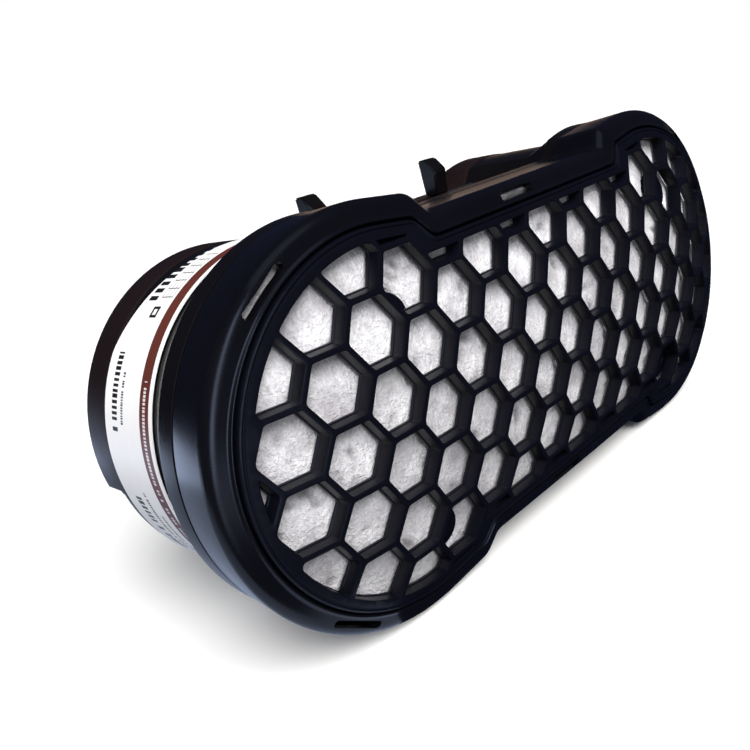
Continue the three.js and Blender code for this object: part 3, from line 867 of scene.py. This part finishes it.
def guard():
    draft = (WEB_REAR - WEB_FRONT) / 2
    ledge = GUARD_REAR - 0.55
    cells = [round_polygon(c, 0.45) for c in cell_polygons()]
    levels = [
        (0.16, GUARD_FRONT),
        (0.05, GUARD_FRONT + 0.05),
        (0.0, GUARD_FRONT + 0.18),
        (-draft + 0.05, ledge),
        (-draft - 0.1, ledge + 0.08),
        (-draft - 0.12, GUARD_REAR),
    ]
    lip = GUARD_REAR - 0.7
    rim = [(-1.25, GUARD_FRONT), (-1.15, GUARD_FRONT + 0.12), (-1.0, GUARD_FRONT + 0.12)]
    rim += [(-0.88, GUARD_FRONT - 0.02), (-0.7, GUARD_FRONT - 0.1), (-0.5, GUARD_FRONT - 0.06)]
    rim += [(-0.37, GUARD_FRONT + 0.12), (-0.35, GUARD_FRONT + 0.35), (-0.35, lip), (0.7, lip), (0.7, GUARD_REAR)]
    shell = perforated("guard_shell", cells, levels, rim, 1, 2.0, COVER_STEP)
    return finish_piece(shell, GUARD_BLACK, "front_cover", "guard_plastic", "honeycomb_grille")


PAD_FRONT, PAD_THICK, PAD_OUT = GUARD_REAR + 0.6, 2.2, 2.0
LOBE_RISE, WAIST_RISE, RIM_FROM = 0.0, 1.0, 0.7
STUD_PRESS = 0.9
# Each stud's centre in x and z. The left ones lie aslant with one side tucked into the fleece: the way towards
# the free side, and how far from the middle it starts.
STUDS = {
    "upper_left": (-40.4, 15.8, (math.radians(31), 1.5)),
    "upper_right": (45.0, 16.3, None),
    "lower_left": (-39.3, -21.1, (math.radians(0), -0.2)),
    "lower_right": (39.3, -21.3, None),
}
STUD_TILT = 0.13


def needle_marks(x, z, rng, count, deepest):
    """Short soft dents in all directions, as needling and handling leave them."""
    dents = np.zeros(len(x))
    for _ in range(count):
        cx, cz = rng.uniform(-72, 72), rng.uniform(-31, 31)
        turn, long, wide = rng.uniform(0, math.pi), rng.uniform(0.8, 1.8), rng.uniform(0.45, 0.75)
        u = (x - cx) * math.cos(turn) + (z - cz) * math.sin(turn)
        v = -(x - cx) * math.sin(turn) + (z - cz) * math.cos(turn)
        dents += rng.uniform(0.3, 1.0) * deepest * np.exp(-((u / long) ** 2) - (v / wide) ** 2)
    return dents


def layer(name, offset, front, rear, spacing, front_relief, rear_relief, domed=0.0, step=BODY_STEP):
    """A layer cut to the outline, with a height in millimetres added to each face at (x, z)."""
    edge = outline(offset, step)
    found, _ = filled([edge], spacing)
    flat = np.array([[p[0], p[1]] for p in found[0]])
    x, z = flat[:, 0], flat[:, 1]
    lift = domed * dome(x, z)
    near = np.stack([x, front + lift + front_relief(x, z), z], 1)
    far = np.stack([x, rear + lift - rear_relief(x, z), z], 1)
    count, n = len(near), len(edge)
    faces = [list(f) for f in found[2]] + [[count + i for i in f][::-1] for f in found[2]]
    faces += [[i, count + i, count + (i + 1) % n, (i + 1) % n] for i in range(n)]
    return tidy_normals(new_object(name, np.vstack([near, far]), faces), merge=1e-7)


def inside_edge(x, z):
    """How far points lie inside the outline, in millimetres, below zero outside it."""
    past = np.maximum(np.abs(x) - LOBE_X, 0)
    lobe = LOBE_R - np.hypot(np.where(np.abs(x) > LOBE_X, past, np.abs(x) - LOBE_X), z)
    waist = np.where(np.abs(x) < STEP_FOOT_X + 3, WAIST_Z - np.abs(z), -99)
    return np.maximum(lobe, waist)


def prefilter():
    """Domed non-woven with soft dents, pressed down under the studs and swelling behind the bezel's windows. A painted
    shade, darker in the dents and towards the bottom, goes into its colour.
    """
    rng = np.random.default_rng(11)
    rises = (-RIM_FROM, PAD_OUT - 0.5)

    def front_relief(x, z):
        waves = 0.12 * np.sin(x / 5.1 + 1.3 * np.sin(z / 6.3)) * np.sin(z / 4.7 + 0.8 * np.sin(x / 7.9))
        out = -inside_edge(x, z)
        rise = np.where(np.abs(x) < STEP_FOOT_X, WAIST_RISE, LOBE_RISE)
        rim = rise * np.clip((out - rises[0]) / (rises[1] - rises[0]), 0, 1) * (out > 0.85)
        pressed, covered = np.zeros(len(x)), np.zeros(len(x))
        for cx, cz, tuck in STUDS.values():
            away = np.hypot(x - cx, z - cz)
            under = STUD_PRESS * np.clip((5.1 - away) / 0.8, 0, 1)
            if tuck:
                across = (x - cx) * math.cos(tuck[0]) + (z - cz) * math.sin(tuck[0])
                free_side = np.clip((across - tuck[1]) / 0.6, 0, 1)
                covered = np.maximum(covered, np.clip(5.6 - away, 0, 1) * (1 - free_side))
                under *= free_side
            pressed = np.maximum(pressed, under)
        dents = needle_marks(x, z, rng, 150, 0.8) * (pressed == 0) * (1 - covered)
        # Painted shade for the fleece's colour: darker in the dents, and darker towards the bottom as though lit from
        # above.
        shade.append(np.clip(dents / 0.5, 0, 1) + 0.45 * np.clip((15 - z) / 45, 0, 1))
        return 0.15 + waves + dents + pressed - 0.3 * covered - rim

    def rear_relief(x, z):
        return 0.1 * np.sin(x / 3.3) * np.sin(z / 4.1) + 0.1

    shade = []
    pad = layer(
        "prefilter_fleece_pad", PAD_OUT - 0.2, PAD_FRONT, PAD_FRONT + PAD_THICK - 0.1, 0.7,
        front_relief, rear_relief, domed=1, step=COVER_STEP,
    )
    # The painted shade goes on the front face's points as a mesh attribute; the rear face gets none.
    values = np.concatenate([shade[0], np.zeros(len(shade[0]))])[: len(pad.data.vertices)]
    painted_shade = pad.data.attributes.new("painted_shade", "FLOAT", "POINT")
    painted_shade.data.foreach_set("value", values.astype(np.float32))
    finish_piece(pad, FLEECE, "front_cover", "prefilter_fleece", "prefilter_pad")
    return pad


def lathe(name, profile, centre, inward, count=48, sharp=35):
    """A solid of revolution from (radius, depth) points, open ends on its axis, set at centre along inward."""
    axis = Vector(inward).normalized()
    turn = axis.to_track_quat("Y", "Z")
    vertices, faces, rings = [], [], []
    for radius, depth in profile:
        rings.append(len(vertices))
        many = 1 if radius == 0 else count
        for i in range(many):
            spoke = unit(2 * math.pi * i / count) * radius
            vertices.append(turn @ Vector((spoke[0], depth, spoke[1])) + Vector(centre))
    for k in range(len(profile) - 1):
        a, b = rings[k], rings[k + 1]
        for i in range(count):
            j = (i + 1) % count
            if profile[k][0] == 0:
                faces.append([a, b + i, b + j])
            elif profile[k + 1][0] == 0:
                faces.append([a + i, b, a + j])
            else:
                faces.append([a + i, b + i, b + j, a + j])
    return tidy_normals(new_object(name, np.array(vertices), faces, sharp), sharp=sharp)


def studs():
    """Push studs: a dished head with a rounded rim on the fleece, and a barbed shank through it."""
    profile = [(0, 0.28), (0.9, 0.27), (1.35, 0.2), (1.5, 0.05), (1.8, 0.0), (3.5, 0.0), (3.9, 0.07)]
    profile += [(4.13, 0.28), (4.18, 0.55), (4.1, 0.85), (3.9, 1.02), (1.75, 1.06), (1.4, 1.25)]
    profile += [(1.35, 2.3), (1.4, 2.5), (1.1, 3.1), (0.5, 3.18), (0, 3.18)]
    for place_name, (x, z, tuck) in STUDS.items():
        step = 0.1
        slope_x = (dome(x + step, z) - dome(x - step, z)) / (2 * step)
        slope_z = (dome(x, z + step) - dome(x, z - step)) / (2 * step)
        tilt = unit(tuck[0]) * STUD_TILT if tuck else (0, 0)
        sunk = 0.15 if tuck else 0
        centre = (x, PAD_FRONT + sunk + dome(x, z), z)
        head = lathe(f"stud_{place_name}", profile, centre, (tilt[0] - slope_x, 1, tilt[1] - slope_z))
        finish_piece(head, GUARD_BLACK, "front_cover", "guard_plastic", f"pad_stud_{place_name}")


# ---------------------------------------------------------------- Housing and label

SPIGOT_FRONT, SPIGOT_OUT, SPIGOT_IN, LEDGE_Y = 13.9, 1.2, -0.6, 25.3
GROOVE_IN, GROOVE_OUT, GROOVE_DEPTH = 1.3, 2.75, 1.5
REAR_WALL_Y = HOUSING_REAR_Y - WALL


def housing():
    chain = [
        (BODY_OUT - WALL, REAR_WALL_Y, 0, 0),
        (BODY_OUT - WALL, LEDGE_Y, 0, 0.1),
        (SPIGOT_IN, LEDGE_Y, 0, 0.1),
        (SPIGOT_IN, SPIGOT_FRONT, 0, 0.25),
        (SPIGOT_OUT, SPIGOT_FRONT, 0, 0.35),
        (SPIGOT_OUT, FLANGE_Y, 0, 0),
        (GROOVE_IN, FLANGE_Y, 0, 0),
        (GROOVE_IN, FLANGE_Y + GROOVE_DEPTH, 0, 0.1),
        (GROOVE_OUT, FLANGE_Y + GROOVE_DEPTH, 0, 0.1),
        (GROOVE_OUT, FLANGE_Y, 0, 0),
        (FLANGE_OUT, FLANGE_Y, 0, 0.1),
        (FLANGE_OUT, FLANGE_Y + 3.7, 0, 0.25),
        (FLANGE_OUT - 0.3, FLANGE_Y + 4.0, 0, 0.2),
        (BODY_OUT, BODY_FRONT_Y, 0, 0.8),
        (BODY_OUT, HOUSING_REAR_Y, 0, 0.5),
        (BODY_OUT - 3, HOUSING_REAR_Y, 0, 0),
    ]
    soft = rounded(chain, 0.1)
    shell = capped("housing_shell", soft)
    cut_with(shell, [slot_tool(OUTLET_R, REAR_WALL_Y - 1, HOUSING_REAR_Y + 1)])
    return finish_piece(shell, HOUSING_BLACK, "cartridge", "housing_plastic", "filter_housing")


def wrap_label():
    """Thin printed film round the left lobe. Its rear edge slants forwards over the top."""
    flat = outline(LABEL_INNER, arc_steps=90)
    flat = flat[flat[:, 0] < LABEL_END_X]
    turn = np.arctan2(flat[:, 1], -flat[:, 0] - LOBE_X)
    flat = flat[np.argsort(turn)]
    turn = np.sort(turn)
    rear = LABEL_REAR - LABEL_SLANT * np.maximum(turn - LABEL_SLANT_FROM, 0)
    out = flat - [-LOBE_X, 0]
    out = out / np.linalg.norm(out, axis=1)[:, None]
    rings = []
    steps = np.linspace(0, 1, 12)
    for thick, order in ((LABEL_OUTER - LABEL_INNER, steps), (0.0, steps[::-1])):
        for s in order:
            skinned = flat + out * thick
            rings.append(np.stack([skinned[:, 0], LABEL_FRONT + (rear - LABEL_FRONT) * s, skinned[:, 1]], 1))
    count = len(flat)
    faces = skin_faces(count, len(rings), len(rings), loop=False)
    for end in (0, count - 1):
        faces.append([k * count + end for k in range(len(rings))])
    film = tidy_normals(new_object("label_film", np.vstack(rings), faces), merge=1e-7)
    return finish_piece(film, LABEL_PRINT, "cartridge", "label_film", "wrap_label")


# ---------------------------------------------------------------- Rear shroud, hooks and outlet

BACK_PLATE_FRONT, BACK_PLATE_REAR = HOUSING_REAR_Y + 0.3, HOUSING_REAR_Y + 1.9
COLLAR_REAR = 48.4
SEAL_FRONT, SEAL_REAR = 48.7, 50.2
HOOK_X, HOOK_WIDTH, HOOK_TOP_Z = 18.3, 4.0, 33.6
NOTCH = {"x": -70.2, "size": (3.2, 2.4, 3.0)}


def rear_shroud():
    wall = rounded(
        [
            (0.0, BACK_PLATE_FRONT, 0, 0.3),
            (0.0, SHROUD_REAR_Y, 0, 0.45),
            (-WALL, SHROUD_REAR_Y, 0, 0.45),
            (-WALL, BACK_PLATE_REAR, 0, 0.5),
            (-3.0, BACK_PLATE_REAR, 0, 0),
        ],
        0.3,
    )
    wall[0] = np.array([-3.0, BACK_PLATE_FRONT, 0.0])
    wall.insert(1, np.array([-0.3, BACK_PLATE_FRONT, 0.0]))
    shell = capped("shroud_shell", [w for w in wall])
    below = block("below", (160, 20, 40), (0, 0, 0), bevel=0.6)
    place(below, (0, BACK_PLATE_REAR + 10, SHROUD_LOW_Z - 20))
    cut_with(shell, [below, slot_tool(OUTLET_R, BACK_PLATE_FRONT - 1, BACK_PLATE_REAR + 1)])
    return finish_piece(shell, SHROUD_BROWN, "cartridge", "shroud_plastic", "rear_shroud")


def hooks():
    """Latch hooks: upright behind, with a sloping nose in front and softened edges."""
    foot = WAIST_Z + BODY_OUT + 0.5
    side_view = [
        (39.6, foot), (43.2, foot), (43.6, HOOK_TOP_Z), (41.4, HOOK_TOP_Z),
        (38.9, HOOK_TOP_Z - 2.8), (39.3, HOOK_TOP_Z - 4.4),
    ]
    for name, x in (("left", -HOOK_X), ("right", HOOK_X)):
        bm = bmesh.new()
        ends = []
        for dx in (-HOOK_WIDTH / 2, HOOK_WIDTH / 2):
            ends.append([bm.verts.new((x + dx, y, z)) for y, z in side_view])
        count = len(side_view)
        bm.faces.new(ends[0])
        bm.faces.new(ends[1][::-1])
        for i in range(count):
            j = (i + 1) % count
            bm.faces.new([ends[0][j], ends[0][i], ends[1][i], ends[1][j]])
        bmesh.ops.recalc_face_normals(bm, faces=bm.faces)
        bmesh.ops.bevel(bm, geom=bm.edges[:], offset=0.32, segments=3, affect="EDGES")
        mesh = bpy.data.meshes.new(f"hook_{name}_barb")
        bm.to_mesh(mesh)
        bm.free()
        hook = bpy.data.objects.new(f"hook_{name}_barb", mesh)
        bpy.context.scene.collection.objects.link(hook)
        place(hook)
        mesh.polygons.foreach_set("use_smooth", [True] * len(mesh.polygons))
        mesh.set_sharp_from_angle(angle=math.radians(50))
        finish_piece(hook, HOUSING_BLACK, f"hook_{name}", "housing_plastic", f"latch_hook_{name}")


def outlet():
    collar = rounded(
        [
            (OUTLET_R, COLLAR_Y, 0, 0.2), (OUTLET_R + COLLAR_WALL, COLLAR_Y, 0, 0.2),
            (OUTLET_R + COLLAR_WALL, COLLAR_REAR - 0.7, 0, 0.3), (OUTLET_R + COLLAR_WALL - 0.5, COLLAR_REAR, 0, 0.3),
            (OUTLET_R + 0.4, COLLAR_REAR, 0, 0.2), (OUTLET_R, COLLAR_REAR - 0.4, 0, 0.2),
        ],
        0.2,
    )
    finish_piece(
        slot_sweep("outlet_collar_ring", collar), HOUSING_BLACK, "cartridge", "housing_plastic", "outlet_collar"
    )
    low, high = OUTLET_R + 0.3, OUTLET_R + COLLAR_WALL - 0.3
    middle = (low + high) / 2
    lips = rounded(
        [
            (low, SEAL_FRONT, 0, 0.2), (high, SEAL_FRONT, 0, 0.2), (high, SEAL_REAR - 0.35, 0, 0.3),
            (high - 0.35, SEAL_REAR, 0, 0.3), (middle + 0.15, SEAL_REAR - 0.35, 0, 0.15),
            (middle - 0.15, SEAL_REAR - 0.35, 0, 0.15), (low + 0.35, SEAL_REAR, 0, 0.3), (low, SEAL_REAR - 0.35, 0, 0.3),
        ],
        0.2,
    )
    finish_piece(slot_sweep("outlet_seal", lips), RUBBER, "cartridge", "seal_rubber", "outlet_gasket")


# ---------------------------------------------------------------- Inside

FRAME_OUT, FRAME_IN, FRAME_FRONT, FRAME_REAR = SPIGOT_IN - 0.3, -2.5, 14.0, LEDGE_Y - 0.3
PLEAT_EDGE, PLEAT_PITCH, PLEAT_FRONT, PLEAT_REAR, PAPER_THICK = -4.1, 3.5, 14.8, 23.6, 0.5
LAYER_OUT = BODY_OUT - WALL - 0.3
GRID_PITCH, GRID_BAR, GRID_BORDER = 13.4, 2.2, 2.5


def half_height(x, offset):
    """The outline's height above the middle at x, moved outwards by offset."""
    flat = outline(offset)
    top = flat[flat[:, 1] >= 0]
    top = top[np.argsort(top[:, 0])]
    return np.interp(x, top[:, 0], top[:, 1])


def pleats():
    """One folded sheet of filter paper with rounded folds, cut to the frame's outline."""
    reach = LOBE_X + LOBE_R + PLEAT_EDGE - 1.0
    folds = int(2 * reach / PLEAT_PITCH)
    corners = []
    for i in range(2 * folds + 1):
        x = (i - folds) * PLEAT_PITCH / 2
        y = PLEAT_REAR - PAPER_THICK if i % 2 == 0 else PLEAT_FRONT + PAPER_THICK
        corners.append(np.array([x, y]))
    line = [corners[0]]
    for a, corner, b in zip(corners, corners[1:], corners[2:]):
        line.extend(soft_corner(a, corner, b, 0.9, 5))
    line.append(corners[-1])
    line = np.array(line)
    along = np.gradient(line, axis=0)
    normal = np.stack([-along[:, 1], along[:, 0]], 1)
    normal = normal / np.linalg.norm(normal, axis=1)[:, None] * PAPER_THICK / 2
    height = half_height(np.clip(line[:, 0], -reach, reach), PLEAT_EDGE)
    levels = np.linspace(-1, 1, 13)
    rings = []
    for sign, order in ((-1, levels), (1, levels[::-1])):
        for level in order:
            sway = 0.12 * math.sin(5 * level)
            rings.append(
                np.stack([line[:, 0] + sign * normal[:, 0] + sway, line[:, 1] + sign * normal[:, 1], height * level], 1)
            )
    count = len(line)
    faces = skin_faces(count, len(rings), len(rings), loop=False)
    half = len(levels)
    for end in (0, count - 1):
        for k in range(half - 1):
            a, b = k, k + 1
            c, d = 2 * half - 2 - k, 2 * half - 1 - k
            faces.append([a * count + end, b * count + end, c * count + end, d * count + end])
    paper = tidy_normals(new_object("pleated_paper", np.vstack(rings), faces, 60), merge=1e-7, sharp=60)
    return finish_piece(paper, PAPER, "cartridge", "filter_paper", "pleated_filter")


def square_holes():
    half = (GRID_PITCH - GRID_BAR) / 2
    columns, rows = int((LOBE_X + LOBE_R) / GRID_PITCH), int(LOBE_R / GRID_PITCH)
    corners = [(-half, -half), (half, -half), (half, half), (-half, half)]
    made = []
    for column in range(-columns, columns + 1):
        for row in range(-rows, rows + 1):
            centre = np.array([column * GRID_PITCH, row * GRID_PITCH])
            cell = [centre + c for c in corners]
            side = 1 if centre[0] > 0 else -1
            if abs(centre[0]) < STEP_FOOT_X - 2:
                for up in (1, -1):
                    limit = WAIST_Z + LAYER_OUT - GRID_BORDER
                    cell = clip_polygon(cell, np.array([0, up * limit]), np.array([0.0, up]))
            else:
                for angle in np.radians(np.arange(0, 360, 10)):
                    normal = unit(angle)
                    if normal[0] * side < -0.15 and abs(centre[0]) < 60:
                        continue
                    rim = side * LOBE + normal * (LOBE_R + LAYER_OUT - GRID_BORDER)
                    cell = clip_polygon(cell, rim, normal) if cell else cell
            if len(cell) >= 3 and area_of(cell) > 6.0:
                made.append(round_polygon(cell, 0.8))
    return made


def carbon_grid(name, front, rear, node):
    levels = [(0.2, front), (0.0, front + 0.2), (0.0, rear - 0.2), (0.2, rear)]
    rim = [(LAYER_OUT - 0.2, front), (LAYER_OUT, front + 0.2), (LAYER_OUT, rear - 0.2), (LAYER_OUT - 0.2, rear)]
    shell = perforated(name, square_holes(), levels, rim, 0, 6.0)
    return finish_piece(shell, INNER_GREY, "cartridge", "inner_plastic", node)


def inside():
    gasket = rounded(
        [(1.6, 15.4, 0), (GROOVE_OUT - 0.3, 15.4, 0), (GROOVE_OUT - 0.3, 16.8, 0), (1.6, 16.8, 0)], 0.28, steps=5
    )
    finish_piece(sweep("cover_seal", gasket), RUBBER, "cartridge", "seal_rubber", "cover_gasket")
    frame_profile = rounded(
        [
            (FRAME_IN, FRAME_FRONT, 0), (FRAME_OUT, FRAME_FRONT, 0), (FRAME_OUT, FRAME_REAR, 0),
            (FRAME_IN - 2, FRAME_REAR, 0), (FRAME_IN - 2, FRAME_REAR - 1, 0), (FRAME_IN, FRAME_REAR - 1, 0, 0.1),
        ],
        0.25,
    )
    finish_piece(sweep("pleat_tray", frame_profile), INNER_GREY, "cartridge", "inner_plastic", "pleat_frame")
    pleats()
    resin = rounded(
        [
            (PLEAT_EDGE + 0.3, 15.2, 0), (FRAME_IN - 0.75, 15.05, 0), (FRAME_IN - 0.3, PLEAT_FRONT, 0, 0.1),
            (FRAME_IN - 0.3, FRAME_REAR - 1.3, 0), (PLEAT_EDGE + 0.3, FRAME_REAR - 1.3, 0),
        ],
        0.3,
    )
    finish_piece(sweep("potting_bead", resin), RESIN, "cartridge", "potting_resin", "pleat_sealant")
    carbon_grid("front_grid", 25.6, 27.0, "front_carbon_grid")
    carbon_grid("rear_grid", 39.5, 40.9, "rear_carbon_grid")
    rng = np.random.default_rng(5)

    def grains(x, z):
        return rng.uniform(0.02, 0.5, len(x))

    def weave(x, z):
        return 0.05 + 0.05 * np.sin(x * 2.1) * np.sin(z * 2.3)

    def cells(x, z):
        return 0.12 + 0.08 * np.sin(x * 1.3 + z) * np.sin(z * 1.7 - x * 0.4)

    for name, front, rear, node in (
        ("front_scrim", 27.3, 27.9, "front_carbon_scrim"),
        ("rear_scrim", 36.7, 37.3, "rear_carbon_scrim"),
    ):
        cloth = layer(name, LAYER_OUT, front, rear, 1.6, weave, weave)
        finish_piece(cloth, SCRIM, "cartridge", "scrim_cloth", node)
    bed = layer("carbon_granules", LAYER_OUT, 28.2, 36.4, 0.8, grains, grains)
    finish_piece(bed, CARBON, "cartridge", "activated_carbon", "carbon_bed")
    foam = layer("compression_foam_layer", LAYER_OUT, 37.6, 39.2, 1.4, cells, cells)
    finish_piece(foam, FOAM, "cartridge", "foam", "compression_foam")
    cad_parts["outlet_guard"].data.materials.clear()
    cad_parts["outlet_guard"].data.materials.append(INNER_GREY)


studio()
bezel()
guard()
prefilter()
studs()
housing()
wrap_label()
rear_shroud()
hooks()
outlet()
inside()
